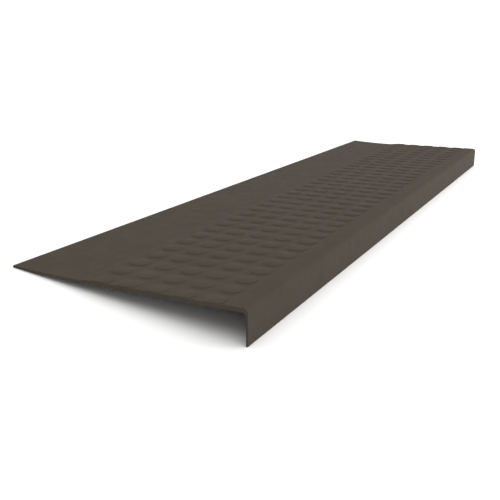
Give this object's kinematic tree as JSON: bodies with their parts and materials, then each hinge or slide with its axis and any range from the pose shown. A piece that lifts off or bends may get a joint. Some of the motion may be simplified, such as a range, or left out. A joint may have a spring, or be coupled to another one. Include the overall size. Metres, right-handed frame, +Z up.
{
  "type": "stair tread",
  "caption": "Long rubber stair tread with a rounded square nosing and lip, a sunken field of low round studs, and a thin plain band along its back.",
  "frame": {"origin": "under the middle of the tread's box, on the floor that the tread rests on", "axes": "+X along the nosing, -Y towards the nosing and lip, +Y towards the thin back edge, +Z up; the tread lies unheld, tipped back by 7.3 degrees about X onto its lip and its back edge, so turn it by +7.3 degrees about +X to set it level on a step"},
  "size_m": [1.2192, 0.3086, 0.0402],
  "materials": {
    "rubber": "matte dark umber brown moulded rubber, very fine even grain"
  },
  "bodies": {
    "root": {"stair_tread": "rubber"}
  },
  "joints": []
}
